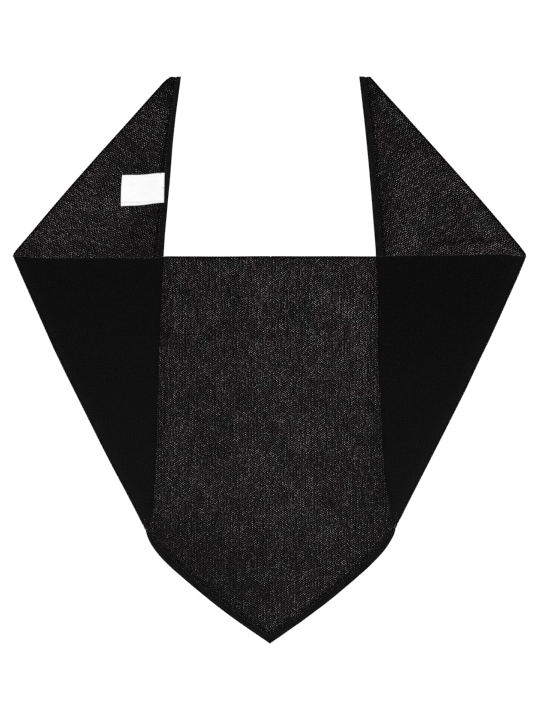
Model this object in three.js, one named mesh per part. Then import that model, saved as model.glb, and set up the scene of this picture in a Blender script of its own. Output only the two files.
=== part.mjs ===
// A knitted triangle scarf, laid flat with both ends of its long edge turned under the front.
// Millimetres. X to the right, Y up the front, Z up from the surface that the scarf lies on.
// The origin is on that surface, under the middle of the laid-out scarf.

import * as THREE from 'three';

// The cloth.
const CLOTH = 1.2; // wall of the single jersey
const HEM = 2.0; // wall of the double-knit hem
const HEM_WIDTH = 10;
const LABEL = 1.0; // the label's ribbon, folded double
const SEAM = 0.3; // between pieces, and between layers

// The front.
const LONG_EDGE_Y = 102.5;
const CORNER_X = 256; // half the width across the two turned corners
const APEX_Y = -283.3;

// Where the front comes down off a wing: how far it takes, and the flat it keeps over the hem's edge.
const DRAPE = 18;
const HEM_CLEARANCE = 5;
const HEM_SLOPE = 8; // the step from the hem down to the single cloth

// The folds. The layers touch at the crease and the cloth turns round outside it.
const FOLD_RADIUS = CLOTH + SEAM / 2;
const HEM_FOLD_RADIUS = HEM + SEAM / 2;
const FOLD_STEPS = 8;
const HEM_FOLD_END = 2.5; // the hem's turn stops this far short of the fold's foot

// Each side's outline, as half-widths from the middle.
// foot: the lower end of the fold. bulge: the point that bends the bottom edge round to the foot, from
// straight. seamKnee, seamBulge: the same for the hem's inner line, which meets the crease at the knee.
// tip: the wing's blunt end, from its inner corner to the shoulder where the long edge runs straight.
// inner: the wing's inner edge, from the tip down to the foot.
const SIDES = [
  {
    name: 'left',
    sign: -1,
    foot: { x: 124.5, y: -171.5 },
    bulge: { x: 118.6, y: -195.3 },
    straight: { x: 84.5, y: -220.5 },
    seamKnee: { x: 128.5, y: -160 },
    seamBulge: { x: 103, y: -192 },
    tip: { y: 282.8, rounding: { x: 101, y: 281.5 }, shoulder: { x: 107, y: 275.5 } },
    inner: [
      { y: 282.8, x: 89.3 },
      { y: 220, x: 97 },
      { y: 124, x: 105.3 },
      { y: 0, x: 111 },
      { y: -90, x: 113.4 },
      { y: -150, x: 117 },
      { y: -171.5, x: 122.2 },
    ],
  },
  {
    name: 'right',
    sign: 1,
    foot: { x: 125, y: -169 },
    bulge: { x: 117.5, y: -194.5 },
    straight: { x: 84, y: -220 },
    seamKnee: { x: 128.5, y: -158 },
    seamBulge: { x: 102, y: -191.5 },
    tip: { y: 283, rounding: { x: 102, y: 280.5 }, shoulder: { x: 110.5, y: 270.5 } },
    inner: [
      { y: 283, x: 89.5 },
      { y: 220, x: 96.4 },
      { y: 104, x: 106.4 },
      { y: 16, x: 107.6 },
      { y: -52, x: 111 },
      { y: -112, x: 114.2 },
      { y: -139, x: 118.6 },
      { y: -169, x: 122.5 },
    ],
  },
];

// The care label: its sewn end stands on the left wing's hem, and the other end lies free on the wing.
const LABEL_SIZE = { length: 42, width: 31 };
const LABEL_SEWN_END = { x: -107, y: 171.7 }; // middle of that end
const LABEL_TILT = THREE.MathUtils.degToRad(4.6);

const KNIT = { color: 0x141315, roughness: 0.95 };
const RIB = { color: 0x171617, roughness: 0.92 };
const SATIN = { color: 0xf4f3f0, roughness: 0.45 };

const { lerp, smoothstep } = THREE.MathUtils;

// X at height y on an outline whose points run up or down in y.
function xAt(outline, y) {
  for (let i = 1; i < outline.length; i++) {
    const a = outline[i - 1];
    const b = outline[i];
    if ((y - a.y) * (y - b.y) <= 0) return lerp(a.x, b.x, (y - a.y) / (b.y - a.y));
  }
  const ends = [outline[0], outline[outline.length - 1]];
  return Math.abs(y - ends[0].y) < Math.abs(y - ends[1].y) ? ends[0].x : ends[1].x;
}

// An edge from the middle out to where it stops being straight, then round its bulge to its end.
function bottomCurve(apexY, straight, bulge, end) {
  const round = new THREE.QuadraticBezierCurve(
    new THREE.Vector2(straight.x, straight.y),
    new THREE.Vector2(bulge.x, bulge.y),
    new THREE.Vector2(end.x, end.y),
  );
  return [{ x: 0, y: apexY }, ...round.getPoints(10)];
}

function smoothEdge(rows) {
  const curve = new THREE.SplineCurve(rows.map(({ x, y }) => new THREE.Vector2(x, y)));
  return curve.getPoints(18);
}

// Everything that the pieces of one side need: its crease and its outlines.
function layOut(side) {
  const { foot, straight, bulge, seamKnee, seamBulge, tip, inner } = side;
  const run = { x: foot.x - CORNER_X, y: foot.y - LONG_EDGE_Y };
  const length = Math.hypot(run.x, run.y);
  const along = { x: run.x / length, y: run.y / length };
  const outward = { x: -along.y, y: along.x };
  // The crease lies inside the outline by the turn's radius, and starts level with the long edge.
  const creaseShift = FOLD_RADIUS / outward.x;
  const creaseTop = { x: CORNER_X - creaseShift, y: LONG_EDGE_Y };
  const creaseFoot = { x: foot.x - creaseShift, y: foot.y };
  const creaseX = (y) => lerp(creaseTop.x, creaseFoot.x, (y - LONG_EDGE_Y) / run.y);
  const clothEndX = (y) => creaseX(y) - SEAM / outward.x;

  // The hem's inner line keeps the hem's width from the edge.
  const slant = Math.hypot(straight.x, straight.y - APEX_Y);
  const edgeRise = (straight.y - APEX_Y) / slant;
  const edgeReach = straight.x / slant;
  const seamStraight = { x: straight.x - HEM_WIDTH * edgeRise, y: straight.y + HEM_WIDTH * edgeReach };
  const seamApexY = APEX_Y + HEM_WIDTH / edgeReach;
  const seamShift = SEAM / edgeRise;

  // Round the turn the long edge climbs the crease, because it meets it at a slant.
  const climb = Math.abs(along.x / outward.x);
  const cornerClimb = climb * FOLD_RADIUS * Math.PI;
  const wingCorner = {
    x: creaseTop.x - along.x * cornerClimb - SEAM,
    y: creaseTop.y - along.y * cornerClimb,
  };
  return {
    ...side,
    along,
    outward,
    climb,
    creaseTop,
    clothEndX,
    seamApexY,
    seamShift,
    wingCorner,
    bottom: bottomCurve(APEX_Y, straight, bulge, foot),
    seam: bottomCurve(seamApexY, seamStraight, seamBulge, seamKnee),
    innerEdge: smoothEdge(inner),
    longEdge: [{ x: 98.5, y: tip.y }, tip.rounding, tip.shoulder, wingCorner],
  };
}

const [LEFT, RIGHT] = SIDES.map(layOut);
const sideOf = (x) => (x < 0 ? LEFT : RIGHT);

// Height of the underside of what lies on a wing, d inside the wing's inner edge.
function heightOnWing(d) {
  const onHem = HEM + SEAM;
  const onCloth = CLOTH + SEAM;
  if (d < 0) return onHem * smoothstep(d, -DRAPE, -HEM_CLEARANCE);
  return lerp(onHem, onCloth, smoothstep(d, HEM_WIDTH + HEM_CLEARANCE, HEM_WIDTH + HEM_SLOPE));
}

// Height of the front's underside: on a wing, down off its edge, or on the surface.
function frontLow(x, y) {
  const side = sideOf(x);
  const reach = Math.abs(x);
  const fromEdge = reach - xAt(side.innerEdge, y);
  if (y >= side.foot.y) return heightOnWing(fromEdge);
  return heightOnWing(-Math.hypot(fromEdge, y - side.foot.y));
}

// A wall from rows of stations: each station has its place and its low and high face.
function wall(rows) {
  const across = rows[0].length;
  const positions = [];
  for (const row of rows) {
    for (const { x, y, low } of row) positions.push(x, y, low);
    for (const { x, y, high } of row) positions.push(x, y, high);
  }
  const low = (i, j) => i * 2 * across + j;
  const high = (i, j) => low(i, j) + across;
  const index = [];
  const quad = (a, b, c, d) => index.push(a, b, c, a, c, d);
  const lastRow = rows.length - 1;
  const lastStation = across - 1;
  for (let i = 0; i < lastRow; i++) {
    for (let j = 0; j < lastStation; j++) {
      quad(high(i, j), high(i + 1, j), high(i + 1, j + 1), high(i, j + 1));
      quad(low(i, j), low(i, j + 1), low(i + 1, j + 1), low(i + 1, j));
    }
    quad(low(i, 0), low(i + 1, 0), high(i + 1, 0), high(i, 0));
    quad(low(i, lastStation), high(i, lastStation), high(i + 1, lastStation), low(i + 1, lastStation));
  }
  for (let j = 0; j < lastStation; j++) {
    quad(low(0, j), high(0, j), high(0, j + 1), low(0, j + 1));
    quad(low(lastRow, j), low(lastRow, j + 1), high(lastRow, j + 1), high(lastRow, j));
  }
  const geometry = new THREE.BufferGeometry();
  geometry.setAttribute('position', new THREE.Float32BufferAttribute(positions, 3));
  geometry.setIndex(index);
  geometry.computeVertexNormals();
  return geometry;
}

// Rows run down in y and stations run to the right.
const stationsBetween = (from, to, count) =>
  Array.from({ length: count + 1 }, (_, k) => lerp(from, to, k / count));

// Heights from top to bottom: one at each point of the outlines, so that neighbours share their chords,
// and none further apart than step.
function rowHeights(top, bottom, step, ...outlines) {
  const least = 0.5;
  const within = outlines.flat().map(({ y }) => y).filter((y) => y < top - least && y > bottom + least);
  const kept = [top];
  for (const y of [...within.sort((a, b) => b - a), bottom]) {
    const from = kept[kept.length - 1];
    if (from - y < least) continue;
    kept.push(...stationsBetween(from, y, Math.ceil((from - y) / step)).slice(1));
  }
  return kept;
}

// Stations of the front from near the middle out: closest where it comes down off the wing. Past the
// knee they keep their shares of the row, which narrows to the apex.
function frontReach(side, y) {
  const knee = side.seamKnee.y;
  const followed = Math.max(y, knee + DRAPE);
  const edge = xAt(side.innerEdge, followed);
  const fullReach = side.clothEndX(followed);
  const slopeFoot = edge + Math.min(HEM_WIDTH + HEM_SLOPE, (fullReach - edge) * 0.8);
  const reach = y > knee ? side.clothEndX(y) : xAt(side.seam, y) - side.seamShift;
  const hemFar = Math.min(edge + HEM_WIDTH + HEM_CLEARANCE, lerp(edge, slopeFoot, 0.7));
  const stations = [
    edge - DRAPE,
    edge - DRAPE * 0.6,
    edge - HEM_CLEARANCE,
    edge,
    lerp(edge, hemFar, 0.3),
    lerp(edge, hemFar, 0.6),
    hemFar,
    slopeFoot,
    lerp(slopeFoot, fullReach, 0.5),
    fullReach,
  ];
  return stations.map((x) => (x * reach) / fullReach);
}

function frontPanel() {
  const tipY = Math.max(LEFT.seamApexY, RIGHT.seamApexY) + 2;
  const outlines = [LEFT, RIGHT].flatMap(({ innerEdge, seam, bottom }) => [innerEdge, seam, bottom]);
  const heights = rowHeights(LONG_EDGE_Y, tipY, 24, ...outlines);
  const rows = heights.map((y) => {
    const left = frontReach(LEFT, y).map((x) => -x).reverse();
    const right = frontReach(RIGHT, y);
    const middle = stationsBetween(left[left.length - 1], right[0], 4).slice(1, -1);
    return [...left, ...middle, ...right].map((x) => {
      const low = frontLow(x, y);
      return { x, y, low, high: low + CLOTH };
    });
  });
  return wall(rows);
}

// A flat piece of one side from its near line to its far line, as half-widths at each height.
function sidePiece(side, heights, near, far, across, low, thickness) {
  return wall(
    heights.map((y) => {
      const reach = stationsBetween(near(y), far(y), across).map((x) => x * side.sign);
      if (side.sign < 0) reach.reverse();
      return reach.map((x) => {
        const z = low(x, y);
        return { x, y, low: z, high: z + thickness };
      });
    }),
  );
}

const onSurface = () => 0;

function wing(side) {
  const near = (y) => xAt(side.innerEdge, y) + HEM_WIDTH + SEAM;
  const far = (y) => (y > side.wingCorner.y ? xAt(side.longEdge, y) : side.clothEndX(y));
  const narrowest = 1;
  let footY = side.seamKnee.y + DRAPE;
  while (far(footY - 1) - near(footY - 1) > narrowest) footY -= 1;
  const heights = rowHeights(side.tip.rounding.y, footY, 40, side.innerEdge, side.longEdge);
  return sidePiece(side, heights, near, far, 3, onSurface, CLOTH);
}

function wingHem(side) {
  const near = (y) => xAt(side.innerEdge, y);
  const far = (y) => Math.min(near(y) + HEM_WIDTH, side.clothEndX(y));
  const heights = rowHeights(side.tip.y, side.foot.y + HEM_CLEARANCE, 40, side.innerEdge);
  return sidePiece(side, heights, near, far, 2, onSurface, HEM);
}

function frontHem(side) {
  const mitre = SEAM / 2;
  const startY = side.seamKnee.y - HEM_CLEARANCE;
  const underTurn = side.foot.y + HEM_FOLD_END / 2;
  const outer = [
    { x: side.clothEndX(startY), y: startY },
    { x: side.clothEndX(underTurn), y: underTurn },
    ...side.bottom.slice().reverse(),
  ];
  const near = (y) => (y > side.seamApexY ? Math.max(xAt(side.seam, y), mitre) : mitre);
  const far = (y) => xAt(outer, y);
  const bluntTip = 0.5;
  const heights = rowHeights(startY, APEX_Y + bluntTip, 12, outer, side.seam);
  return sidePiece(side, heights, near, far, 2, frontLow, HEM);
}

// The turn of the cloth round the crease, from start to end along it. climb slants its upper end.
function turn(side, radius, thickness, start, end, climb) {
  const sections = 6;
  const rows = [];
  for (let k = 0; k <= FOLD_STEPS; k++) {
    const angle = (Math.PI * k) / FOLD_STEPS;
    const row = stationsBetween(start - climb * radius * angle, end, sections);
    rows.push({ angle, row });
  }
  const point = (t, r, angle) => {
    const out = r * Math.sin(angle);
    return [
      side.sign * (side.creaseTop.x + side.along.x * t + side.outward.x * out),
      side.creaseTop.y + side.along.y * t + side.outward.y * out,
      radius + r * Math.cos(angle),
    ];
  };
  const positions = [];
  for (const r of [radius, radius - thickness]) {
    for (const { angle, row } of rows) for (const t of row) positions.push(...point(t, r, angle));
  }
  const across = sections + 1;
  const outer = (i, j) => i * across + j;
  const inner = (i, j) => outer(i, j) + rows.length * across;
  const index = [];
  const quad = (a, b, c, d) => {
    if (side.sign > 0) index.push(a, b, c, a, c, d);
    else index.push(a, c, b, a, d, c);
  };
  for (let i = 0; i < FOLD_STEPS; i++) {
    for (let j = 0; j < sections; j++) {
      quad(outer(i, j), outer(i, j + 1), outer(i + 1, j + 1), outer(i + 1, j));
      quad(inner(i, j), inner(i + 1, j), inner(i + 1, j + 1), inner(i, j + 1));
    }
    quad(outer(i, 0), outer(i + 1, 0), inner(i + 1, 0), inner(i, 0));
    quad(outer(i, sections), inner(i, sections), inner(i + 1, sections), outer(i + 1, sections));
  }
  for (let j = 0; j < sections; j++) {
    quad(outer(0, j), inner(0, j), inner(0, j + 1), outer(0, j + 1));
    quad(outer(FOLD_STEPS, j), outer(FOLD_STEPS, j + 1), inner(FOLD_STEPS, j + 1), inner(FOLD_STEPS, j));
  }
  const geometry = new THREE.BufferGeometry();
  geometry.setAttribute('position', new THREE.Float32BufferAttribute(positions, 3));
  geometry.setIndex(index);
  geometry.computeVertexNormals();
  return geometry;
}

// Distance along the crease to a height.
const alongCrease = (side, y) => (y - side.creaseTop.y) / side.along.y;

function clothFold(side) {
  const end = alongCrease(side, side.seamKnee.y) - SEAM;
  return turn(side, FOLD_RADIUS, CLOTH, 0, end, side.climb);
}

function hemFold(side) {
  const start = alongCrease(side, side.seamKnee.y);
  const end = alongCrease(side, side.foot.y) - HEM_FOLD_END;
  return turn(side, HEM_FOLD_RADIUS, HEM, start, end, 0);
}

// The label lies on the wing's own surface, so it comes down off the hem where that does. Its sewn end
// leans along the hem, against the tilt, so the ribbon lies a little skewed.
function careLabel() {
  const back = { x: -Math.cos(LABEL_TILT), y: -Math.sin(LABEL_TILT) };
  const up = { x: Math.sin(LABEL_TILT), y: Math.cos(LABEL_TILT) };
  const rows = stationsBetween(LABEL_SIZE.width / 2, -LABEL_SIZE.width / 2, 4).map((v) =>
    stationsBetween(LABEL_SIZE.length, 0, 14).map((u) => {
      const x = LABEL_SEWN_END.x + back.x * u + up.x * v;
      const y = LABEL_SEWN_END.y + back.y * u + up.y * v;
      const low = heightOnWing(Math.abs(x) - xAt(LEFT.innerEdge, y));
      return { x, y, low, high: low + LABEL };
    }),
  );
  return wall(rows);
}

const scarf = new THREE.Group();

function add(name, geometry, finish) {
  const mesh = new THREE.Mesh(geometry, new THREE.MeshStandardMaterial({ metalness: 0, ...finish }));
  mesh.name = name;
  scarf.add(mesh);
}

add('front_panel', frontPanel(), KNIT);
for (const side of [LEFT, RIGHT]) {
  add(`${side.name}_wing`, wing(side), KNIT);
  add(`${side.name}_fold`, clothFold(side), KNIT);
  add(`front_hem_${side.name}`, frontHem(side), RIB);
  add(`wing_hem_${side.name}`, wingHem(side), RIB);
  add(`hem_fold_${side.name}`, hemFold(side), RIB);
}
add('care_label', careLabel(), SATIN);

export default scarf;
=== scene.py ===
"""A knitted triangle scarf, laid flat with both ends of its long edge turned under the front."""

import math

import bmesh
import bpy
import numpy as np
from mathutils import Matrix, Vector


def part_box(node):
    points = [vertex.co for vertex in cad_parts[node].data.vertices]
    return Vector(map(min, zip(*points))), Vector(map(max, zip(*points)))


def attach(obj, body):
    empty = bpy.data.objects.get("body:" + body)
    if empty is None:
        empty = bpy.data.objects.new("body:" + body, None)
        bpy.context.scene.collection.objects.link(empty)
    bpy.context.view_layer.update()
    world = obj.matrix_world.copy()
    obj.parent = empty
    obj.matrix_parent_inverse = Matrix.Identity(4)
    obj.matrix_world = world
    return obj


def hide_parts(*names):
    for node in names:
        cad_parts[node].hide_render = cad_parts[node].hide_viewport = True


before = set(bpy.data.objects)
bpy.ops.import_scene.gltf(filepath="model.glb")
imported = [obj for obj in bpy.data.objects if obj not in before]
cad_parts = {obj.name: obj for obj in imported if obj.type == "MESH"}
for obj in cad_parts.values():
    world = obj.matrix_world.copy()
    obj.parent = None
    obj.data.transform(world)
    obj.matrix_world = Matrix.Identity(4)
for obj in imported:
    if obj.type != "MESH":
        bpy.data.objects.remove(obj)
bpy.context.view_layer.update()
bpy.ops.object.select_all(action="DESELECT")

# Sizes are in millimetres until a mesh is made, which is in metres.
MM = 0.001

# The knitting: how wide and how tall a stitch is. Each column of the cloth's grid is a quarter of a stitch.
WALE, COURSE = 3.0, 2.05
WING_WALE, WING_COURSE = 3.3, 1.85  # the wings are drawn out across their stitches
HOLE = 0.38  # the reach of a hole
RELIEF = np.array([0.0, 0.16, 0.07, 0.16])  # across one stitch
CLOTH = 1.2
HALF_CLOTH = CLOTH / 2

# The layers, as the frame's solids lie.
SEAM = 0.3
HEM = 2.0
HEM_WIDTH = 10.0
DRAPE = 18.0
HEM_CLEARANCE = 5.0
HEM_SLOPE = 8.0
FRAME_FOLD = CLOTH + SEAM / 2

# The cloth's turn is a little fuller than the frame's, and settles within a few stitches.
CLOTH_TURN = 0.95
HEM_TURN = (HEM + SEAM) / 2
PUFF = 2 * CLOTH_TURN - CLOTH - SEAM
PUFF_SETTLES = 9.0
TUCK = 1.0  # how far the cloth reaches into the hem
HEM_PULL = 1.3  # how much narrower the hem has drawn in than the frame's
WING_LAP, FRONT_LAP = 2.0, 1.5  # how much more of the hem the cloth laps over

# How finely the pieces are divided: rows of the cloth's grid, and sections and rows of the hem's.
FRONT_ROWS, TURN_ROWS, WING_ROWS = 46, 9, 84
FRONT_SECTIONS, TURN_SECTIONS, WING_SECTIONS = 111, 12, 226
HEM_ACROSS = 15
LINK_STEP = 2.4  # from one linking stitch to the next

# Soft creases, as uneven as in cloth that was folded once and smoothed out:
# x and y at one end, x and y at the other, half-width, height.
CREASES = [
    (-214, 62, -148, -92, 9, 1.04),
    (-226, 96, -176, 20, 7, 0.66),
    (206, 50, 152, -70, 10, 0.95),
    (232, 92, 196, 34, 6, 0.76),
    (-78, 84, -52, -66, 17, 0.66),
    (-34, -30, -58, -176, 13, 0.76),
    (24, 70, 44, -58, 19, 0.57),
    (70, -84, 58, -196, 12, 0.85),
    (-12, -168, 8, -250, 10, 0.76),
    (-120, 92, 118, 95, 6, 0.57),
    (-212, 122, -132, 206, 8, 0.85),
    (-170, 118, -112, 170, 11, 0.66),
    (-108, 240, -126, 196, 5, 0.76),
    (222, 118, 158, 186, 9, 0.85),
    (128, 132, 122, 214, 8, 0.66),
    (112, 250, 142, 214, 5, 0.66),
    (160, 115, 242, 121, 2.6, 0.9),
]


# Where the knitting lies closer or looser: x, y, reach across, reach up, change.
PATCHES = [
    (-55, -215, 48, 46, -0.18),
    (-8, -236, 26, 16, -0.05),
    (-84, -172, 30, 26, -0.07),
    (-104, -166, 16, 22, -0.06),
    (-82, -72, 14, 30, -0.04),
    (-40, -84, 14, 18, -0.05),
    (-104, -100, 16, 40, 0.03),
    (-50, 0, 34, 70, -0.05),
    (-58, 82, 18, 12, 0.04),
    (0, 70, 26, 24, 0.05),
    (6, -24, 20, 26, 0.03),
    (30, -150, 40, 30, 0.03),
    (50, 30, 60, 110, 0.035),
    (96, 62, 16, 30, 0.05),
    (94, -10, 20, 40, 0.045),
    (102, -142, 18, 46, -0.11),
    (72, -196, 24, 26, -0.08),
    (-190, 145, 24, 26, 0.06),
    (-198, 122, 12, 12, 0.04),
    (-180, 108, 60, 8, -0.06),
    (-152, 118, 26, 12, -0.06),
    (-124, 138, 20, 46, -0.11),
    (-118, 202, 18, 20, -0.06),
    (-150, 196, 24, 18, -0.04),
    (-118, 240, 16, 22, 0.03),
    (-103, 268, 14, 16, -0.15),
    (116, 172, 12, 80, -0.12),
    (178, 116.4, 16, 2.1, -0.22),
    (211, 118.8, 20, 2.1, -0.28),
    (212, 111.5, 22, 4.2, 0.19),
    (176, 109.5, 14, 3.4, 0.09),
    (146, 218, 22, 16, -0.08),
    (103, 266, 12, 18, -0.13),
    (166, 120, 14, 12, -0.07),
    (142, 172, 18, 30, 0.04),
    (180, 200, 12, 14, 0.03),
    (228, 120, 24, 16, 0.04),
]


# How far the laid cloth strays from the frame's straight lines: places along a line, and shifts there.
STRAYS = {
    "left": {
        # By height: the outline outwards.
        "outline": (
            (-156, -132, -108, -84, -48, -12, 12, 48, 84, 98)
            + (102.5, 104.5, 106.5, 110, 174, 198, 216, 240, 258, 272),
            (0, 1.0, 2.3, 3.1, 3.7, 4.4, 4.35, 3.1, 1.7, 1.0)
            + (0.7, 1.3, 2.0, 2.5, 3.05, 2.5, 1.9, 1.4, 0.95, 0.55),
        ),
        # By height: the wing's hem inwards.
        "hem": ((106, 126, 145, 174, 190, 212, 240, 270), (0.15, 0.35, 0.7, 0.98, 0.9, 0.35, 0.2, 0.4)),
        # By height: the foot of the fold outwards. By reach: the front's hem down, and its long edge up.
        "foot": ((-186, -174, -160), (0, -0.4, 0)),
        "sag": (
            (5, 18, 30, 42, 54, 66, 78, 90, 102, 114, 122),
            (1.4, 1.9, 2.55, 2.85, 2.6, 1.9, 0.85, -0.45, -0.8, -0.5, 0),
        ),
        "long_edge": ((104, 116, 225, 250), (0, -1.7, -1.8, 0)),
        # By height: how much the wing's hem narrows towards its tip.
        "narrowing": ((190, 235, 275), (0, 1.0, 1.8)),
        # By height: the cloth at the wing's very tip down.
        "tip": ((277, 280, 283, 286), (0, 0.2, 0.6, 3.1)),
    },
    "right": {
        "outline": (
            (-166, -144, -108, -72, -30, 0, 20, 48, 84, 98, 103.5)
            + (105.5, 108, 114, 138, 162, 176, 198, 222, 246, 258, 272),
            (0.3, 0.9, 2.0, 3.0, 3.9, 3.4, 3.5, 2.7, 1.45, 0.5, 0)
            + (0.8, 1.4, 2.05, 2.8, 3.2, 2.95, 2.15, 1.6, 0.8, 0.2, 0),
        ),
        "hem": ((104, 150, 186, 216, 246, 270), (0.5, 0.58, 0.3, 0.2, 0.35, 0.4)),
        "foot": ((-200, -188, -176, -166, -150), (0, 0.6, 1.0, 0.6, 0)),
        "sag": (
            (5, 18, 30, 42, 54, 66, 78, 90, 102, 114, 122),
            (1.2, 1.7, 2.5, 2.6, 2.75, 2.2, 1.1, 0, -0.2, 0.2, 0.2),
        ),
        "long_edge": ((104, 125, 200, 232, 250), (0, 0.9, 1.4, 2.1, 0)),
        "narrowing": ((190, 235, 275), (0, 0.3, 0.8)),
        "tip": ((279, 281, 283, 286), (0, 0.1, 0.5, 3.0)),
    },
}


# ---------------------------------------------------------------- outlines


def points_of(node):
    """A CAD node's points, in millimetres."""
    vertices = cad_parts[node].data.vertices
    flat = np.empty(len(vertices) * 3, np.float32)
    vertices.foreach_get("co", flat)
    return flat.reshape(-1, 3).astype(float) / MM


def rows_of(node, sign):
    """A CAD node's rows on one side, going up: their heights, and their least and greatest reach."""
    points = points_of(node)
    points = points[points[:, 0] * sign > 0]
    heights = np.unique(points[:, 1].round(2))
    reach = [abs(points[abs(points[:, 1] - y) < 0.02, 0]) for y in heights]
    return heights, np.array([r.min() for r in reach]), np.array([r.max() for r in reach])


def smoothstep(x, low, high):
    t = np.clip((x - low) / (high - low), 0, 1)
    return t * t * (3 - 2 * t)


def lerp(a, b, t):
    return a + (b - a) * t


def unit(vectors):
    return vectors / np.linalg.norm(vectors, axis=-1, keepdims=True)


def even_points(line, shares):
    """Points at these shares of a line's length."""
    length = np.append(0, np.cumsum(np.linalg.norm(np.diff(line, axis=0), axis=1)))
    return np.stack([np.interp(shares * length[-1], length, axis) for axis in line.T], -1)


class Side:
    """One half of the scarf, measured from its middle outwards."""

    def __init__(self, name, sign):
        self.name, self.sign = name, sign
        self.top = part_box("front_panel")[1].y / MM
        heights, _, reach = rows_of("front_panel", sign)
        straight = heights > -140
        self.slope, self.start = np.polyfit(heights[straight], reach[straight], 1)
        length = math.hypot(self.slope, 1)
        self.outward = np.array([1, -self.slope]) / length

        rows, self.inner_edge, self.wing_seam = rows_of(f"wing_hem_{name}", sign)
        self.wing_rows = rows
        whole = self.wing_seam - self.inner_edge > HEM_WIDTH - 0.2
        narrowing = WING_LAP + self.stray("narrowing", rows)
        self.wing_seam_line = np.c_[self.wing_seam - HEM_PULL - narrowing, rows][whole]
        hem_rows, seam, edge = rows_of(f"front_hem_{name}", sign)
        turn_low, turn_high = (corner.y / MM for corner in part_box(f"hem_fold_{name}"))
        below = hem_rows < turn_low
        self.foot_y = hem_rows[below][-1]
        self.knee = self.on_crease(turn_high - 5, HEM_TURN + HEM / 2)
        self.foot = self.on_crease(self.foot_y, HEM_TURN + HEM / 2)
        front_edge = np.c_[edge, hem_rows][below][1:]
        front_edge = front_edge[front_edge[:, 1] < self.foot_y - 0.5]
        self.front_edge = np.vstack([[0, hem_rows[0]], front_edge, self.foot])
        off_middle = seam > 1
        line = np.c_[seam, hem_rows][off_middle]
        line = line[line[:, 1] < turn_high - 8]
        # The cloth laps further over the hem near the foot and the apex.
        pull = HEM_PULL + FRONT_LAP + 1.0 * smoothstep(line[:, 1:], self.foot_y - 34, self.foot_y)
        pull = pull + 0.8 * (1 - smoothstep(line[:, :1], 20, 60))
        line = line + pull * [0.6, -0.8]
        middle = line[0] - (line[1] - line[0]) * line[0, 0] / (line[1, 0] - line[0, 0])
        self.front_seam = np.vstack([middle, line, self.knee])
        inner = np.c_[self.inner_edge, rows][rows > self.foot_y + 8]
        self.inner_line = np.vstack([self.foot, inner])

        self.cut_seam = np.vstack([self.front_seam, self.unfolded(self.wing_seam_line)])
        rows, _, reach = rows_of(f"{name}_wing", sign)
        self.outline = rows, reach
        above = rows > self.top + 1
        self.cut_edge = self.unfolded(np.c_[reach, rows][above])
        self.cut_edge = self.cut_edge[np.argsort(self.cut_edge[:, 0])]
        self.tip = self.cut_seam[-1, 0] - 0.6

    def on_crease(self, y, outer):
        """The crease at a height, so far inside the turn's outside."""
        outside = self.start + self.slope * y + (SEAM + FRAME_FOLD) / self.outward[0]
        return np.array([outside - outer / self.outward[0], y])

    def beyond(self, places):
        """How far past the cloth's crease places are."""
        return (places - self.on_crease(0, CLOTH_TURN + HALF_CLOTH)) @ self.outward

    def unfolded(self, places):
        """The places on the flat cut of places on the turned wing."""
        shift = math.pi * CLOTH_TURN - 2 * self.beyond(places)
        return places + shift[..., None] * self.outward

    def crossing(self, x, past):
        """The height at which columns of the flat cut are so far past the crease."""
        return (x - self.on_crease(0, CLOTH_TURN + HALF_CLOTH)[0] - past / self.outward[0]) / self.slope

    def stray(self, line, at):
        return np.interp(at, *STRAYS[self.name][line])

    def eased(self, places):
        """Where places of the laid scarf come to lie once it has been smoothed out by hand."""
        x, y = places[..., 0], places[..., 1]
        outline = np.interp(y, *self.outline)
        inner = np.interp(y, self.wing_rows, self.inner_edge)
        outwards = self.stray("outline", y) * smoothstep((x - inner - 6) / (outline - inner - 6), 0, 1)
        outwards = outwards + self.stray("foot", y) * smoothstep(x, 60, 118)
        inwards = self.stray("hem", y) * (1 - smoothstep(x, inner + 6, inner + 40)) * (x > 60)
        above = y - np.interp(x, *self.front_edge.T)
        down = self.stray("sag", x) * (1 - smoothstep(above, 4, 90))
        # The very tip of the cloth is bound off level with the hem's end.
        down = down + self.stray("tip", y) * smoothstep(x - inner, 3, 8)
        return np.stack([x + outwards - inwards * smoothstep(y, 90, 106), y - down], -1)

    def seam_at(self, x):
        return np.interp(x, *self.cut_seam.T)

    def edge_at(self, x):
        """The long edge on the flat cut, which strays a little from its line."""
        wave = 0.12 * np.sin(x * self.sign / 31 + 0.8) + 0.08 * np.sin(x * self.sign / 12.5 + 2.1)
        line = np.append([self.top, self.top], self.cut_edge[:, 1])
        reach = np.append([0, self.on_crease(self.top, 0)[0]], self.cut_edge[:, 0])
        return np.interp(x, reach, line) + wave + 0.3 + self.stray("long_edge", x)


SIDES = [Side("left", -1), Side("right", 1)]


# ---------------------------------------------------------------- heights


def crease_height(x, y):
    """How far the soft creases lift the cloth."""
    height = 0
    for x0, y0, x1, y1, width, peak in CREASES:
        run_x, run_y = x1 - x0, y1 - y0
        along = ((x - x0) * run_x + (y - y0) * run_y) / (run_x**2 + run_y**2)
        held = np.clip(along, 0, 1)
        aside = np.hypot(x - x0 - run_x * held, y - y0 - run_y * held)
        fade = smoothstep(along, -0.15, 0.35) * (1 - smoothstep(along, 0.6, 1.15))
        height = height + peak * fade * np.exp(-((aside / width) ** 2))
    swell = np.sin(x / 37 + 1.3) * np.sin(y / 53 + 0.4) + 0.6 * np.sin(x / 21 - y / 29)
    return height + 0.09 * (swell + 1.6)


def clearness(x, y):
    """How clear the holes are at a place."""
    change = 0
    for at_x, at_y, across, along, amount in PATCHES:
        change = change + amount * np.exp(-(((x - at_x) / across) ** 2) - ((y - at_y) / along) ** 2)
    return 1 + change


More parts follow.
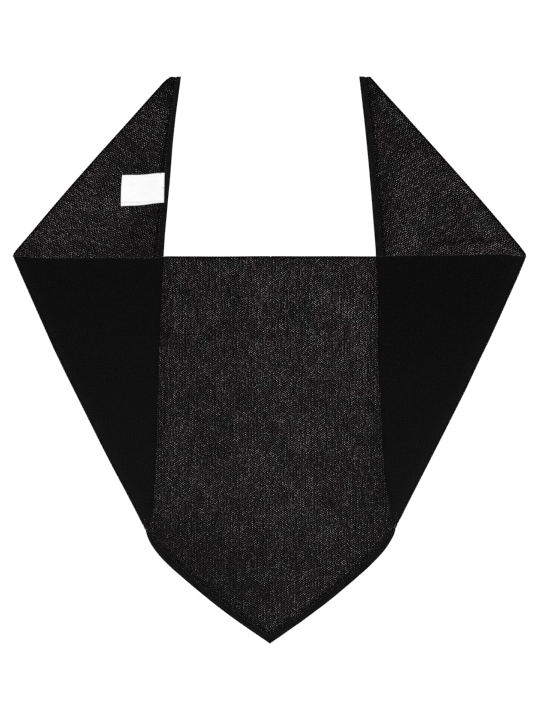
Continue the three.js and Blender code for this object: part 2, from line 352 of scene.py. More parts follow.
def height_on_wing(inside):
    """The height of what lies on a wing, so far inside the wing's inner edge."""
    on_hem, on_cloth = HEM + SEAM, CLOTH + SEAM
    over = smoothstep(inside, HEM_WIDTH + HEM_CLEARANCE, HEM_WIDTH + HEM_SLOPE)
    draped = on_hem * smoothstep(inside, -DRAPE, -HEM_CLEARANCE)
    return np.where(inside < 0, draped, lerp(on_hem, on_cloth, over))


def front_low(side, x, y):
    """The height of the front's underside."""
    inside = x - np.interp(y, side.wing_rows, side.inner_edge)
    below = -np.hypot(x - np.interp(side.foot_y, side.wing_rows, side.inner_edge), y - side.foot_y)
    return height_on_wing(np.where(y >= side.foot_y, inside, below))


def laid(side, x, y):
    """Where the flat cut's places lie once its end is turned, and which way its face looks there."""
    past = side.beyond(np.stack([x, y], -1))
    turn = math.pi * CLOTH_TURN
    angle = np.clip(past / CLOTH_TURN, 0, math.pi)
    now = np.where(past < 0, past, np.where(past < turn, CLOTH_TURN * np.sin(angle), turn - past))
    into_hem = (HEM - CLOTH) / 2 * np.exp(-((0.8 * np.maximum(y - side.seam_at(x), 0) / 5) ** 2))
    x = x + side.outward[0] * (now - past)
    y = y + side.outward[1] * (now - past)
    lower = HALF_CLOTH + into_hem * smoothstep(past, turn, turn + 6)
    upper = front_low(side, x, y) + HALF_CLOTH + PUFF * np.exp(np.minimum(past, 0) / PUFF_SETTLES)
    upper = upper + into_hem * smoothstep(-past, 0, 6)
    z = lerp(lower, upper, (1 + np.cos(angle)) / 2) + crease_height(x * side.sign, y)
    out = np.sin(angle)
    normal = np.stack([out * side.outward[0] * side.sign, out * side.outward[1], np.cos(angle)], -1)
    x, y = np.moveaxis(side.eased(np.stack([x, y], -1)), -1, 0)
    return np.stack([x * side.sign, y, z], -1), normal


# ---------------------------------------------------------------- meshes


def made(name, corners, faces, smooth=True, **layers):
    """A piece from corners in millimetres, with equal corners joined."""
    mesh = bpy.data.meshes.new(name)
    mesh.from_pydata((corners * MM).tolist(), [], faces.tolist())
    for layer, values in layers.items():
        if values.ndim == 1:
            mesh.attributes.new(layer, "FLOAT", "POINT").data.foreach_set("value", values.astype(np.float32))
        else:
            uv = values[faces.ravel()].astype(np.float32).ravel()
            mesh.uv_layers.new(name=layer).data.foreach_set("uv", uv)
    shape = bmesh.new()
    shape.from_mesh(mesh)
    bmesh.ops.remove_doubles(shape, verts=shape.verts, dist=1e-6)
    bmesh.ops.dissolve_degenerate(shape, edges=shape.edges, dist=1e-7)
    shape.to_mesh(mesh)
    shape.free()
    mesh.polygons.foreach_set("use_smooth", np.full(len(mesh.polygons), smooth))
    piece = bpy.data.objects.new(name, mesh)
    bpy.context.scene.collection.objects.link(piece)
    return piece


def walls(place, normal, face_wall, reverse_wall):
    """The corners and faces of a closed wall on a grid of places, its face side towards the normal."""
    rows, columns = place.shape[:2]
    count = rows * columns
    face_side = place + normal * face_wall[..., None]
    reverse = place - normal * reverse_wall[..., None]
    index = np.arange(count).reshape(rows, columns)
    quads = np.stack([index[:-1, :-1], index[1:, :-1], index[1:, 1:], index[:-1, 1:]], -1).reshape(-1, 4)
    border = np.concatenate([index[0, :-1], index[:-1, -1], index[-1, :0:-1], index[:0:-1, 0]])
    after = np.roll(border, -1)
    rim = np.stack([border, after, after + count, border + count], -1)
    faces = np.concatenate([quads, quads[:, ::-1] + count, rim])
    corners = np.concatenate([face_side.reshape(-1, 3), reverse.reshape(-1, 3)])
    a, b, c, d = (corners[quads[:, i]] for i in range(4))
    looks = np.cross(c - a, d - b)
    if np.sum(looks * normal.reshape(-1, 3)[quads[:, 0]]) < 0:
        faces = faces[:, ::-1]
    return corners, faces


def tone_and_painted_light_at(x, y, turn, alone):
    """How pale the yarn is, with painted light and shade: paler towards the bottom as painted light, a
    painted highlight near the crease, painted shade on the turn itself, darker where a layer lies alone and
    towards the right, and a further painted highlight near the crease on the right.
    """
    tone_and_painted_light = (1.48 - 0.46 * smoothstep(y, -130, 90)) * (1 + 0.35 * np.exp(-np.minimum(turn, 0) ** 2 / 60))
    tone_and_painted_light = tone_and_painted_light * (1 - 0.3 * smoothstep(turn, -1.2, -0.2)) * (1 - 0.28 * alone)
    tone_and_painted_light = tone_and_painted_light * (1 - 0.1 * smoothstep(x, 0, 180))
    return tone_and_painted_light * (1 + 0.14 * (x > 0) * np.exp(-np.minimum(turn, 0) ** 2 / 700))


def cloth(name, stitch, place, normal, cut, bake, rim, turn, alone, covered=0.0):
    """Knitted cloth on a grid, with its places on the flat cut and how far they are from border and crease.

    Alone is where no other layer lies over or under it, and covered is where one presses on it.
    """
    column = np.round(cut[..., 0] / stitch[0] * 4).astype(int) % 4
    wall = HALF_CLOTH - RELIEF.max() + RELIEF[column]
    corners, faces = walls(place, normal, wall, wall)
    knit = cut / stitch
    x, y = place[..., 0], place[..., 1]
    clear = clearness(x, y) * (1 - covered)
    layers = {"open": rim, "clear": clear, "tone_and_painted_light": tone_and_painted_light_at(x, y, turn, alone)}
    layers = {layer: np.concatenate([values.ravel()] * 2) for layer, values in layers.items()}
    maps = {"knit": knit, "OFBake": bake}
    maps = {layer: np.concatenate([uv.reshape(-1, 2)] * 2) for layer, uv in maps.items()}
    return made(name, corners, faces, **maps, **layers)


def shares(rows):
    """Shares of a column's length, closer together at its ends."""
    even = np.linspace(0, 1, rows)
    return even - 0.8 * np.sin(2 * math.pi * even) / (2 * math.pi)


def columns_to(reach, wale):
    return np.append(np.arange(0, reach, wale / 4), reach)


def front_half(side):
    """Half of the front on the flat cut, from its middle to its turn and round it."""
    turn = math.pi * CLOTH_TURN
    last = side.on_crease(side.top, CLOTH_TURN + HALF_CLOTH)[0] + turn / side.outward[0]
    x = columns_to(last, WALE)
    top, bottom = side.edge_at(x), side.seam_at(x) - TUCK
    crease = np.clip(side.crossing(x, 0), bottom, top)
    turned = np.clip(side.crossing(x, turn), bottom, top)
    turned[-1] = crease[-1] = top[-1]
    flat = lerp(top, crease, shares(FRONT_ROWS)[:, None])
    round_it = lerp(crease, turned, np.linspace(0, 1, TURN_ROWS + 1)[1:, None])
    y = np.vstack([flat, round_it])
    x = np.broadcast_to(x, y.shape)
    return x, y


def wing_half(side):
    """A wing on the flat cut, from its turn to its tip."""
    x = columns_to(side.tip, WING_WALE)
    top = np.minimum(side.edge_at(x), side.crossing(x, math.pi * CLOTH_TURN))
    bottom = side.seam_at(x) - TUCK
    first = np.argmax(top > bottom) - 1
    top = np.maximum(top, bottom)
    y = lerp(top, bottom, shares(WING_ROWS)[:, None])[:, first:]
    return np.broadcast_to(x[first:], y.shape), y


def border_distance(side, x, y):
    """How far places are from where the knitting closes up: the hem, and the last rows of the long edge."""
    return np.minimum(y - side.seam_at(x), 2.2 * (side.edge_at(x) - y))


BAKE_SQUARE = 392.0
BAKE_MARGIN = 3.0


def front_cloth():
    parts = []
    for side in SIDES:
        x, y = front_half(side)
        place, normal = laid(side, x, y)
        bake = np.stack([x + BAKE_MARGIN, y - y.min() + BAKE_MARGIN], -1) / BAKE_SQUARE
        if side.sign < 0:
            bake = 1 - bake
        rim = border_distance(side, x, y)
        turn = side.beyond(np.stack([x, y], -1))
        inside = abs(place[..., 0]) - np.interp(place[..., 1], side.wing_rows, side.inner_edge)
        alone = 1 - smoothstep(inside, -3, 5) * smoothstep(place[..., 1], side.foot_y - 4, side.foot_y + 4)
        part = [place, normal, np.stack([x * side.sign, y], -1), bake, rim, turn, alone]
        parts.append([layer[:, ::-1] if side.sign < 0 else layer for layer in part])
    return cloth("front_cloth", [WALE, COURSE], *(np.concatenate(pair, 1) for pair in zip(*parts)))


def wing_cloth(side):
    x, y = wing_half(side)
    place, normal = laid(side, x, y)
    size = max(np.ptp(x), np.ptp(y)) + 2 * BAKE_MARGIN
    bake = np.stack([x - x.min() + BAKE_MARGIN, y - y.min() + BAKE_MARGIN], -1) / size
    cut = np.stack([x * side.sign, y], -1)
    # The front presses the stitches under it closer together.
    covered = 0.5 * (1 - smoothstep(place[..., 1], side.top - 6, side.top))
    turn = -side.beyond(np.stack([x, y], -1))
    alone = smoothstep(place[..., 1], side.top - 2, side.top + 6)
    rim = border_distance(side, x, y)
    stitch = [WING_WALE, WING_COURSE]
    return cloth(f"{side.name}_wing_cloth", stitch, place, normal, cut, bake, rim, turn, alone, covered)


def hem_sections(side):
    """The hem's seam and edge, section by section, on the front from the apex and on the wing to its tip."""
    front = np.linspace(0, 1, FRONT_SECTIONS)
    seam, edge = even_points(side.front_seam, front), even_points(side.front_edge, front)
    wing = np.linspace(0, 1, WING_SECTIONS)
    seam_line = np.vstack([side.knee, side.wing_seam_line[side.wing_seam_line[:, 1] > side.knee[1] + 2]])
    wing_seam, wing_edge = even_points(seam_line, wing), even_points(side.inner_line, wing)
    return seam, edge, wing_seam, wing_edge


def hem_half(side):
    """Half of the hem as a grid of places: a row across it at each section."""
    seam, edge, wing_seam, wing_edge = hem_sections(side)
    across = np.linspace(0, 1, HEM_ACROSS)[None, :, None]

    def ruled(a, b):
        return lerp(a[:, None], b[:, None], across)

    front = ruled(seam, edge)
    z = front_low(side, front[..., 0], front[..., 1]) + HEM / 2
    grids = [(front, z, np.zeros(z.shape))]
    crease = ruled(side.knee[None], side.foot[None])
    for angle in np.linspace(0, math.pi, TURN_SECTIONS)[1:-1]:
        place = crease + side.outward * HEM_TURN * math.sin(angle)
        z = HEM / 2 + (HEM + SEAM) * (1 + math.cos(angle)) / 2 + np.zeros((1, HEM_ACROSS))
        grids.append((place, z, np.full(z.shape, angle)))
    wing = ruled(wing_seam, wing_edge)
    z = np.full(wing.shape[:2], HEM / 2)
    grids.append((wing, z, np.full(z.shape, math.pi)))
    place, z, angle = (np.concatenate(layer) for layer in zip(*grids))
    z = z + crease_height(place[..., 0] * side.sign, place[..., 1])
    place = np.concatenate([side.eased(place) * [side.sign, 1], z[..., None]], -1)
    out = np.sin(angle)
    normal = np.stack([out * side.outward[0] * side.sign, out * side.outward[1], np.cos(angle)], -1)
    return place, normal


def hem_band():
    """The hem in one length, from one wing's tip round the apex to the other's."""
    left, right = (hem_half(side) for side in SIDES)
    place, normal = (np.concatenate([a[::-1], b[1:]]) for a, b in zip(left, right))
    across = np.linspace(-1, 1, HEM_ACROSS)
    body = (1 - across**8) ** 0.5 * (HEM / 2 - 0.12) + 0.12
    ribs = 0.12 * np.cos(across * math.pi * 4) - 0.12
    wall = np.broadcast_to(body * (1 + ribs), place.shape[:2])
    corners, faces = walls(place, normal, wall, wall)
    run = np.append(0, np.cumsum(np.linalg.norm(np.diff(place[:, HEM_ACROSS // 2], axis=0), axis=1)))
    knit = np.stack(np.broadcast_arrays(across * HEM_WIDTH / 2 / COURSE, run[:, None] / WALE), -1)
    knit = knit.reshape(-1, 2)
    return made("hem_band", corners, faces, knit=np.concatenate([knit, knit]))


def tube(centres, radii, sides):
    """A closed tube along points: corners and faces."""
    along = unit(np.gradient(centres, axis=0))
    first = np.array([0, 0, 1.0])
    aside = unit(np.cross(along, first))
    up = np.cross(aside, along)
    turns = np.arange(sides) / sides * 2 * math.pi
    ring = np.cos(turns)[None, :, None] * aside[:, None] + np.sin(turns)[None, :, None] * up[:, None]
    corners = (centres[:, None] + ring * np.asarray(radii)[:, None, None]).reshape(-1, 3)
    index = np.arange(len(corners)).reshape(len(centres), sides)
    after = np.roll(index, -1, 1)
    quads = np.stack([index[:-1], after[:-1], after[1:], index[1:]], -1).reshape(-1, 4)
    return corners, quads


def copies(name, shape, origins, axes, **layers):
    """Many copies of one shape as one mesh, each at an origin, turned to its own axes."""
    corners, faces = shape
    placed = origins[:, None] + np.einsum("ij,njk->nik", corners, axes)
    step = len(corners)
    index = faces[None] + step * np.arange(len(origins))[:, None, None]
    return made(name, placed.reshape(-1, 3), index.reshape(-1, faces.shape[1]), **layers)


def joined(*shapes):
    corners, faces, start = [], [], 0
    for points, quads in shapes:
        corners.append(points)
        faces.append(quads + start)
        start += len(points)
    return np.concatenate(corners), np.concatenate(faces)


def chain_link():
    """One link of the bound-off edge: x along the edge, y towards the cloth, z up."""
    t = np.linspace(0, 1, 6)[:, None]
    legs = []
    for way in (-1, 1):
        bow = way * (0.1 + 0.32 * np.sin(math.pi * np.minimum(t * 0.75 + 0.12, 1)))
        centres = np.hstack([4.0 * t - 0.5, 0.45 + bow, 0.26 - 0.3 * (1 - t)])
        legs.append(tube(centres, [0, 0.24, 0.3, 0.3, 0.26, 0], 6))
    return joined(*legs)


def long_edge_chain():
    """The bound-off edge: one link to a stitch, each following the edge and its turns."""
    corners, faces = chain_link()
    placed = []
    for side in SIDES:
        x = np.linspace(0, side.tip - 1, 3000)
        place, up = laid(side, x, side.edge_at(x))
        inner, _ = laid(side, x, side.edge_at(x) - 0.5)
        along = unit(np.gradient(place, axis=0))
        inward = inner - place
        inward = unit(inward - along * np.sum(inward * along, -1, keepdims=True))
        up = unit(np.cross(inward, along) * side.sign)
        run = np.append(0, np.cumsum(np.linalg.norm(np.diff(place, axis=0), axis=1)))
        at = np.arange(WALE / 2, run[-1] - 2, WALE)
        # Bound off from one tip to the other.
        reach = at[:, None] + corners[:, 0] * side.sign
        aside, lift = corners[:, 1] - 0.3, corners[:, 2]

        def sample(values):
            return np.stack([np.interp(reach, run, axis) for axis in values.T], -1)

        placed.append(sample(place) + sample(inward) * aside[:, None] + sample(up) * lift[:, None])
    placed = np.concatenate(placed)
    index = faces[None] + len(corners) * np.arange(len(placed))[:, None, None]
    return made("long_edge_chain", placed.reshape(-1, 3), index.reshape(-1, 4))


def hem_stitches():
    """The stitches that link the cloth to the hem, on the side that is seen."""
    t = np.linspace(-1, 1, 5)[:, None]
    shape = tube(np.hstack([1.1 * t, 0.35 * t, 0.25 - 0.35 * t**2]), [0, 0.28, 0.32, 0.28, 0], 5)
    origins, axes = [], []
    for side in SIDES:
        seam, edge, wing_seam, wing_edge = hem_sections(side)
        for a, b, wing in ((seam, edge, False), (wing_seam, wing_edge, True)):
            run = np.append(0, np.cumsum(np.linalg.norm(np.diff(a, axis=0), axis=1)))
            at = np.arange(1, run[-1] - 1, LINK_STEP)
            place = np.stack([np.interp(at, run, axis) for axis in a.T], -1)
            outer = np.stack([np.interp(at, run, axis) for axis in b.T], -1)
            if wing:
                seen = place[:, 1] > side.top + 1
                place, outer = place[seen], outer[seen]
            inward = unit((place - outer) * [side.sign, 1])
            place = place + unit(outer - place) * 0.5
            low = np.zeros(len(place)) if wing else front_low(side, *place.T)
            z = low + HEM / 2 + 0.62 + crease_height(place[:, 0] * side.sign, place[:, 1])
            origins.append(np.c_[side.eased(place) * [side.sign, 1], z])
            zero, one = np.zeros(len(place)), np.ones(len(place))
            x_axis = np.c_[inward, zero]
            z_axis = np.c_[zero, zero, one]
            axes.append(np.stack([x_axis, np.cross(z_axis, x_axis), z_axis], 1))
    return copies("hem_stitches", shape, np.concatenate(origins), np.concatenate(axes))


# ---------------------------------------------------------------- the label

RIBBON = 0.34  # the ribbon's thickness
RIBBON_WIDTH = 31
LAYER_GAP = 0.36  # from the middle of one layer to the middle of the other
NOSE = 0.5  # how far the folded end rounds out
# How far its corners lean from the frame's: the sewn end's top and bottom, then the free end's.
LABEL_LEANS = [(0.4, -0.8), (2.3, 0.3), (0, 0.1), (1.2, -0.1)]


def label_corners():
    """The label's corners on the frame: its sewn end's top and bottom, then its free end's."""
    points = points_of("care_label")[:, :2]
    ways = [(1, 1), (1, -1), (-1, 1), (-1, -1)]
    return [points[np.argmax(points @ way)] + lean for way, lean in zip(ways, LABEL_LEANS)]


def label_ground(x, y):
    """The height of what the label lies on."""
    side = SIDES[0]
    inside = abs(x) - np.interp(y, side.wing_rows, side.inner_edge)
    step = smoothstep(inside, HEM_WIDTH - 4, HEM_WIDTH + 16)
    return lerp(HEM + SEAM, CLOTH + SEAM, step) + crease_height(x, y)


def satin_label():
    """A ribbon folded in two, with its ends under the stitches and its long edges rolled."""
    sewn_top, sewn_low, free_top, free_low = label_corners()
    length = np.linalg.norm(free_top - sewn_top)
    run = length - NOSE
    down = np.linspace(0, run, 48)
    angle = np.linspace(0, math.pi, 8)[1:-1]
    reach = np.concatenate([down, run + NOSE * np.sin(angle), down[::-1]])
    lift = np.concatenate([0 * down, LAYER_GAP * (1 - np.cos(angle)) / 2, LAYER_GAP + 0 * down])
    turned = np.concatenate([0 * down, angle, math.pi + 0 * down])
    across = np.linspace(-1, 1, 61)
    share = (reach / length)[:, None]
    t = (across[None] + 1) / 2
    top = lerp(sewn_top, free_top, share[..., None])
    low = lerp(sewn_low, free_low, share[..., None])
    # The free end bows out a little, and the long edges are not quite straight.
    flat = lerp(top, low, t[..., None])
    flat[..., 1] += 0.35 * np.sin(2.4 * math.pi * share + 0.6) * across**2
    flat[..., 0] -= 0.5 * share * (1 - across**2)
    edge = 1 - abs(across)
    rise = 0.9 * share**3 * (0.7 + 0.3 * np.cos(across * 2.2))
    rise = rise + 0.22 * np.sin(math.pi * share) * (1 - across**2)
    rolled = lerp(0.17, np.where(across > 0, 0.30, 0.14), share)
    roll = np.where(across > 0, 0.42, 0.16) * (1 - smoothstep(edge / rolled, 0.55, 1.0))
    roll = roll * smoothstep(edge / rolled, -0.4, 0.4)
    crimp = 0.05 * np.sin(reach[:, None] * 1.9 + across * 2) * smoothstep(edge, 0.3, 0.0)
    z = label_ground(flat[..., 0], flat[..., 1]) + RIBBON / 2 + rise
    z = z + lift[:, None] * (1 + 0.4 * share) + (roll + crimp) * np.where(turned > 1, 1, 0.25)[:, None]
    place = np.dstack([flat, z])
    away = unit(np.append((free_top + free_low - sewn_top - sewn_low) / 2, 0))
    out, up = np.sin(turned), -np.cos(turned)
    normal = np.broadcast_to((out[:, None] * away + up[:, None] * [0, 0, 1])[:, None], place.shape)
    wall = np.full(place.shape[:2], RIBBON / 2)
    corners, faces = walls(place, normal, wall, wall)
    weave = np.stack(np.broadcast_arrays(t * RIBBON_WIDTH, reach[:, None] + (turned[:, None] > 1.6) * 2), -1)
    weave = weave.reshape(-1, 2)
    return made("satin_label", corners, faces, weave=np.concatenate([weave, weave]))


def label_stitches():
    """The tacks that hold the label's sewn end."""
    sewn_top, sewn_low, free_top, free_low = label_corners()
    t = np.linspace(-1, 1, 5)[:, None]
    shape = tube(np.hstack([1.2 * t, 0 * t, 0.2 - 0.5 * t**2]), [0, 0.2, 0.22, 0.2, 0], 6)
    along = unit(free_top - sewn_top)
    across = unit(sewn_low - sewn_top)
    spots = [(4.4, 0.4, across), (4.6, 30.3, across), (0.9, 14.8, along)]
    origins, axes = [], []
    for in_from_end, from_top, way in spots:
        x, y = sewn_top + along * in_from_end + across * from_top
        z = label_ground(x, y) + 2 * RIBBON + 0.55
        origins.append([x, y, z])
        x_axis, z_axis = np.append(way, 0), np.array([0, 0, 1.0])
        axes.append([x_axis, np.cross(z_axis, x_axis), z_axis])
    return copies("label_stitches", shape, np.array(origins), np.array(axes))


# ---------------------------------------------------------------- finishes


class Finish:
    """Nodes of one material."""

    def __init__(self, name):
        self.material = bpy.data.materials.new(name)
        self.material.use_nodes = True
        self.tree = self.material.node_tree
        self.tree.nodes.clear()
        self.output = self.add("OutputMaterial")

    def add(self, kind, inputs=None, **settings):
        node = self.tree.nodes.new("ShaderNode" + kind)
        for setting, value in settings.items():
            setattr(node, setting, value)
        for socket, value in (inputs or {}).items():
            if isinstance(value, bpy.types.NodeSocket):
                self.tree.links.new(value, node.inputs[socket])
            else:
                node.inputs[socket].default_value = value
        return node

    def math(self, operation, *values, clamp=False):
        node = self.add("Math", dict(enumerate(values)), operation=operation, use_clamp=clamp)
        return node.outputs[0]

    def ramp(self, value, low, high, start=0.0, end=1.0, smooth=True):
        kind = "SMOOTHSTEP" if smooth else "LINEAR"
        inputs = {"Value": value, "From Min": low, "From Max": high, "To Min": start, "To Max": end}
        return self.add("MapRange", inputs, interpolation_type=kind).outputs[0]

    def noise(self, place, scale, detail=2.0, rough=0.5, dimensions="2D"):
        inputs = {"Vector": place, "Scale": scale, "Detail": detail, "Roughness": rough}
        return self.add("TexNoise", inputs, noise_dimensions=dimensions)

    def blend(self, share, a, b):
        """A colour between two."""
        node = self.add("Mix", data_type="RGBA")
        for socket, value in ((0, share), (6, a), (7, b)):
            if isinstance(value, bpy.types.NodeSocket):
                self.tree.links.new(value, node.inputs[socket])
            else:
                node.inputs[socket].default_value = value
        return node.outputs[2]

    def split(self, vector):
        return self.add("SeparateXYZ", {"Vector": vector}).outputs

    def place(self, x, y):
        return self.add("CombineXYZ", {"X": x, "Y": y}).outputs[0]

    def bump(self, height, depth, strength=1.0):
        inputs = {"Height": height, "Distance": depth * MM, "Strength": strength}
        return self.add("Bump", inputs).outputs[0]

    def surface(self, colour, rough, normal, gloss, sheen=0.0, sheen_rough=0.5):
        node = self.add("BsdfPrincipled", {"Base Color": colour, "Roughness": rough})
        if normal is not None:
            self.tree.links.new(normal, node.inputs["Normal"])
        node.inputs["Specular IOR Level"].default_value = gloss
        node.inputs["Sheen Weight"].default_value = sheen
        node.inputs["Sheen Roughness"].default_value = sheen_rough
        return node.outputs[0]

    def done(self, shader):
        self.tree.links.new(shader, self.output.inputs["Surface"])
        return self.material


def grey(level, warm=0.0):
    return (level * (1 + warm), level, level * (1 - warm * 0.6), 1)


def knit_finish():
    """Open knitting: a V to each stitch, and small holes between stitches, no two alike."""
    f = Finish("knitted jersey")
    uv = f.add("UVMap", uv_map="knit").outputs[0]
    u, v, _ = f.split(uv)
    # Each wale's stitches lie a little higher or lower than the next one's.
    drift = f.noise(f.place(f.math("MULTIPLY", u, 0.35), f.math("MULTIPLY", v, 0.2)), 1.0, 1.0)
    drift = f.split(drift.outputs["Color"])
    u2 = f.math("ADD", u, f.ramp(drift[0], 0, 1, -0.15, 0.15, smooth=False))
    v2 = f.math("ADD", v, f.ramp(drift[1], 0, 1, -0.5, 0.5, smooth=False))
    p, q = f.math("ADD", u2, v2), f.math("SUBTRACT", u2, v2)
    cells = f.add(
        "TexVoronoi",
        {"Vector": f.place(p, q), "Scale": 1.0, "Randomness": 0.28},
        voronoi_dimensions="2D",
    )
    near_p, near_q, _ = f.split(cells.outputs["Position"])
    dice = f.split(cells.outputs["Color"])
    dp, dq = f.math("SUBTRACT", p, near_p), f.math("SUBTRACT", q, near_q)
    across = f.math("MULTIPLY", f.math("ADD", dp, dq), WALE / 2)
    up = f.math("MULTIPLY", f.math("SUBTRACT", dp, dq), COURSE / 2)
    away = f.math("ADD", f.math("POWER", across, 2.0), f.math("POWER", up, 2.0))

    # A hole is clear in its middle, and fine hairs close it towards its rim.
    cloud = f.ramp(f.noise(uv, 0.07, 3.0, 0.6).outputs[0], 0.3, 0.7, 0.94, 1.05)
    streak = f.noise(f.place(f.math("MULTIPLY", u, 0.9), f.math("MULTIPLY", v, 0.11)), 1.0, 1.0).outputs[0]
    streak = f.ramp(streak, 0.3, 0.7, 0.91, 1.09)
    looser = f.add("Attribute", attribute_name="clear").outputs["Fac"]
    cloud = f.math("MULTIPLY", f.math("MULTIPLY", cloud, streak), looser)
    clear = f.math("ADD", f.math("MULTIPLY", f.math("POWER", dice[0], 3.0), 0.42), 0.745)
    rim = f.add("Attribute", attribute_name="open").outputs["Fac"]
    rim = f.math("ADD", rim, f.math("MULTIPLY", f.math("SUBTRACT", dice[1], 0.5), 4.0))
    closing = f.math("MULTIPLY", f.ramp(rim, 0.3, 4.0), f.ramp(rim, 3.0, 13.0, 0.94, 1.0))
    clear = f.math("MULTIPLY", f.math("MULTIPLY", clear, cloud), closing)
    spread = f.math("EXPONENT", f.math("MULTIPLY", away, -1 / HOLE**2))
    hole = f.math("MULTIPLY", clear, spread, clamp=True)

    # The V's legs slope up from the middle of each stitch.
    f_u = f.math("SUBTRACT", f.math("FRACT", u), 0.5)
    lean = f.math("ABSOLUTE", f_u)
    phase = f.math("SUBTRACT", v2, f.math("MULTIPLY", lean, 1.1))
    leg = f.math("COSINE", f.math("MULTIPLY", phase, 2 * math.pi))
    groove = f.math("COSINE", f.math("MULTIPLY", u, 4 * math.pi))
    fibre = f.noise(uv, 3.2, 3.0, 0.7).outputs[0]
    height = f.math("ADD", f.math("MULTIPLY", leg, 0.5), f.math("MULTIPLY", groove, -0.35))
    height = f.math("ADD", height, f.math("MULTIPLY", fibre, 0.6))
    # Painted shade and highlight: the yarn's colour follows its relief, darker in the grooves and paler on
    # the ridges of the legs.
    painted_ridge_light = f.ramp(height, -0.6, 1.2)
    tint = f.noise(uv, 0.11, 2.0).outputs[0]
    dark = f.blend(tint, grey(0.0017, 0.08), grey(0.0020, -0.04))
    pale = f.blend(tint, grey(0.0040, 0.08), grey(0.0045, -0.02))
    # The yarn's colour is scaled by its tone with painted light and shade.
    tone_and_painted_light = f.add("Attribute", attribute_name="tone_and_painted_light").outputs["Fac"]
    colour = f.add("VectorMath", {0: f.blend(painted_ridge_light, dark, pale), "Scale": tone_and_painted_light}, operation="SCALE").outputs[0]
    yarn = f.surface(colour, 0.95, f.bump(height, 0.3, 0.5), 0.03, 0.5, 0.34)
    # The light between the stitches is neutral here and faintly warm there, and in a few places cool.
    warm = f.ramp(f.noise(uv, 0.045, 1.0).outputs[0], 0.4, 0.6)
    cool = f.ramp(f.noise(f.place(v, u), 0.12, 1.0).outputs[0], 0.6, 0.72)
    shine = f.blend(cool, f.blend(warm, (1, 0.975, 0.98, 1), (1, 0.953, 0.965, 1)), (0.968, 0.99, 0.982, 1))
    through = f.add("BsdfTransparent", {"Color": shine}).outputs[0]
    mixed = f.add("MixShader", {0: hole, 1: yarn, 2: through})
    return f.done(mixed.outputs[0])


def hem_finish():
    """The hem's closer knitting, with the stitches across it."""
    f = Finish("close-knit hem")
    uv = f.add("UVMap", uv_map="knit").outputs[0]
    u, v, _ = f.split(uv)
    row = f.math("COSINE", f.math("MULTIPLY", v, 2 * math.pi * 1.6))
    fibre = f.noise(uv, 4.0, 3.0, 0.7).outputs[0]
    height = f.math("ADD", f.math("MULTIPLY", row, 0.25), fibre)
    shade = f.ramp(f.noise(uv, 0.3, 3.0, 0.6).outputs[0], 0.3, 0.7)
    shade = f.math("MULTIPLY", shade, f.ramp(fibre, 0.3, 0.7, 0.4, 1.6))
    colour = f.blend(shade, grey(0.0032, 0.04), grey(0.0066, 0.02))
    # Painted shade: darker along the outer edge, which turns under away from the light, and darker towards
    # the seam.
    rolled = f.math("MULTIPLY", f.ramp(u, 2.1, 2.35, 1.0, 0.6), f.ramp(u, -2.4, 1.0, 0.8, 1.06))
    colour = f.add("VectorMath", {0: colour, "Scale": rolled}, operation="SCALE").outputs[0]
    return f.done(f.surface(colour, 0.95, f.bump(height, 0.2, 0.6), 0.04, 0.5, 0.34))


def yarn_finish(name, level, warm=0.0, darker_within=None):
    """Plain yarn, which is darker up to a reach from the middle."""
    f = Finish(name)
    place = f.add("TexCoord").outputs["Object"]
    strands = f.noise(place, 900.0, 2.0, 0.6, "3D").outputs[0]
    colour = f.blend(strands, grey(level * 0.75, warm), grey(level * 1.25, warm))
    if darker_within:
        middle_darkening = f.ramp(f.math("ABSOLUTE", f.split(place)[0]), darker_within * MM, (darker_within + 8) * MM, 0.25, 1.0)
        colour = f.add("VectorMath", {0: colour, "Scale": middle_darkening}, operation="SCALE").outputs[0]
    return f.done(f.surface(colour, 0.92, f.bump(strands, 0.15, 0.5), 0.04, 0.3, 0.3))


def satin_finish():
    """White satin ribbon: fine threads along it, which shine a little."""
    f = Finish("white satin")
    uv = f.add("UVMap", uv_map="weave").outputs[0]
    across, along, _ = f.split(uv)
    threads = f.math("COSINE", f.math("MULTIPLY", across, 2 * math.pi * 2.6))
    floats = f.noise(f.place(f.math("MULTIPLY", across, 3.0), f.math("MULTIPLY", along, 0.5)), 1.0).outputs[0]
    height = f.math("ADD", f.math("MULTIPLY", threads, 0.3), floats)
    colour = f.blend(floats, (0.645, 0.645, 0.645, 1), (0.7, 0.7, 0.7, 1))
    return f.done(f.surface(colour, 0.42, f.bump(height, 0.06, 0.5), 0.4, 0.08))


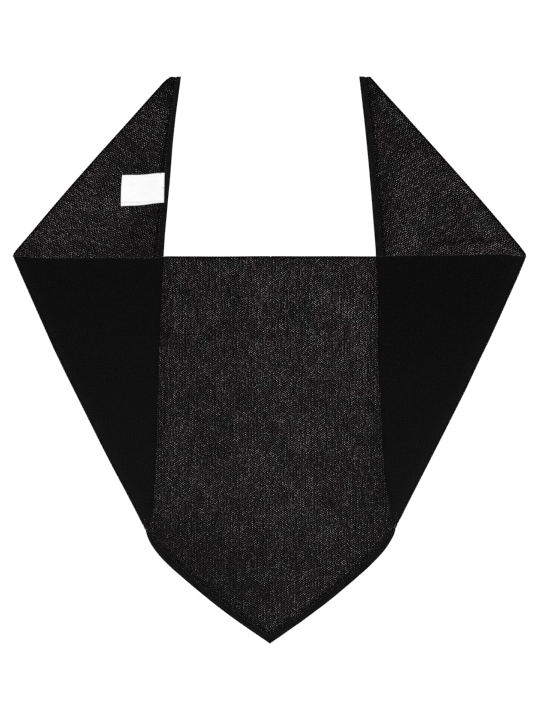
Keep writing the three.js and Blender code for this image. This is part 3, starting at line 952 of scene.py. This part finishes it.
def paper_finish():
    f = Finish("white table")
    place = f.add("TexCoord").outputs["Object"]
    grain = f.noise(place, 400.0, 2.0, 0.5, "3D").outputs[0]
    colour = f.blend(grain, (0.9, 0.9, 0.9, 1), (0.91, 0.91, 0.91, 1))
    return f.done(f.surface(colour, 0.9, None, 0.0))


# ---------------------------------------------------------------- the scene


def dress(piece, finish):
    piece.data.materials.append(finish)
    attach(piece, "root")
    return piece


def build():
    jersey, hem_knit = knit_finish(), hem_finish()
    front = dress(front_cloth(), jersey)
    wings = [dress(wing_cloth(side), jersey) for side in SIDES]
    hem = dress(hem_band(), hem_knit)
    chain = dress(long_edge_chain(), yarn_finish("bound-off yarn", 0.0024, 0.05, darker_within=106))
    linking = dress(hem_stitches(), yarn_finish("linking yarn", 0.0034, 0.03))
    label = dress(satin_label(), satin_finish())
    tacks = dress(label_stitches(), yarn_finish("label thread", 0.03))

    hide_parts("front_panel", "left_fold", "right_fold")
    for wing, side in zip(wings, SIDES):
        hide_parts(f"{side.name}_wing")
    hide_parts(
        *(f"{part}_{side.name}" for part in ("front_hem", "hem_fold", "wing_hem") for side in SIDES),
    )
    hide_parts("care_label")


def set_up():
    """The table, the light and the camera."""
    bpy.ops.mesh.primitive_plane_add(size=20, location=(0, 0, -0.0002))
    table = bpy.context.object
    table.name = "table"
    table.data.materials.append(paper_finish())

    world = bpy.data.worlds.new("soft room")
    world.use_nodes = True
    world.node_tree.nodes["Background"].inputs["Color"].default_value = (1, 1, 1, 1)
    world.node_tree.nodes["Background"].inputs["Strength"].default_value = 0.25
    bpy.context.scene.world = world
    bpy.ops.object.light_add(type="AREA", location=(0.05, 0.12, 4.0))
    lamp = bpy.context.object
    lamp.name = "soft box"
    lamp.data.shape = "SQUARE"
    lamp.data.size = 0.7
    lamp.data.energy = 160
    lamp.visible_camera = False

    bpy.ops.object.camera_add(location=(0, -0.0005, 5.0), rotation=(0, 0, 0))
    camera = bpy.context.object
    camera.data.lens = 250
    camera.data.clip_end = 100
    scene = bpy.context.scene
    scene.camera = camera
    scene.view_settings.view_transform = "Standard"
    scene.cycles.use_denoising = False
    scene.cycles.filter_width = 1.3


build()
set_up()
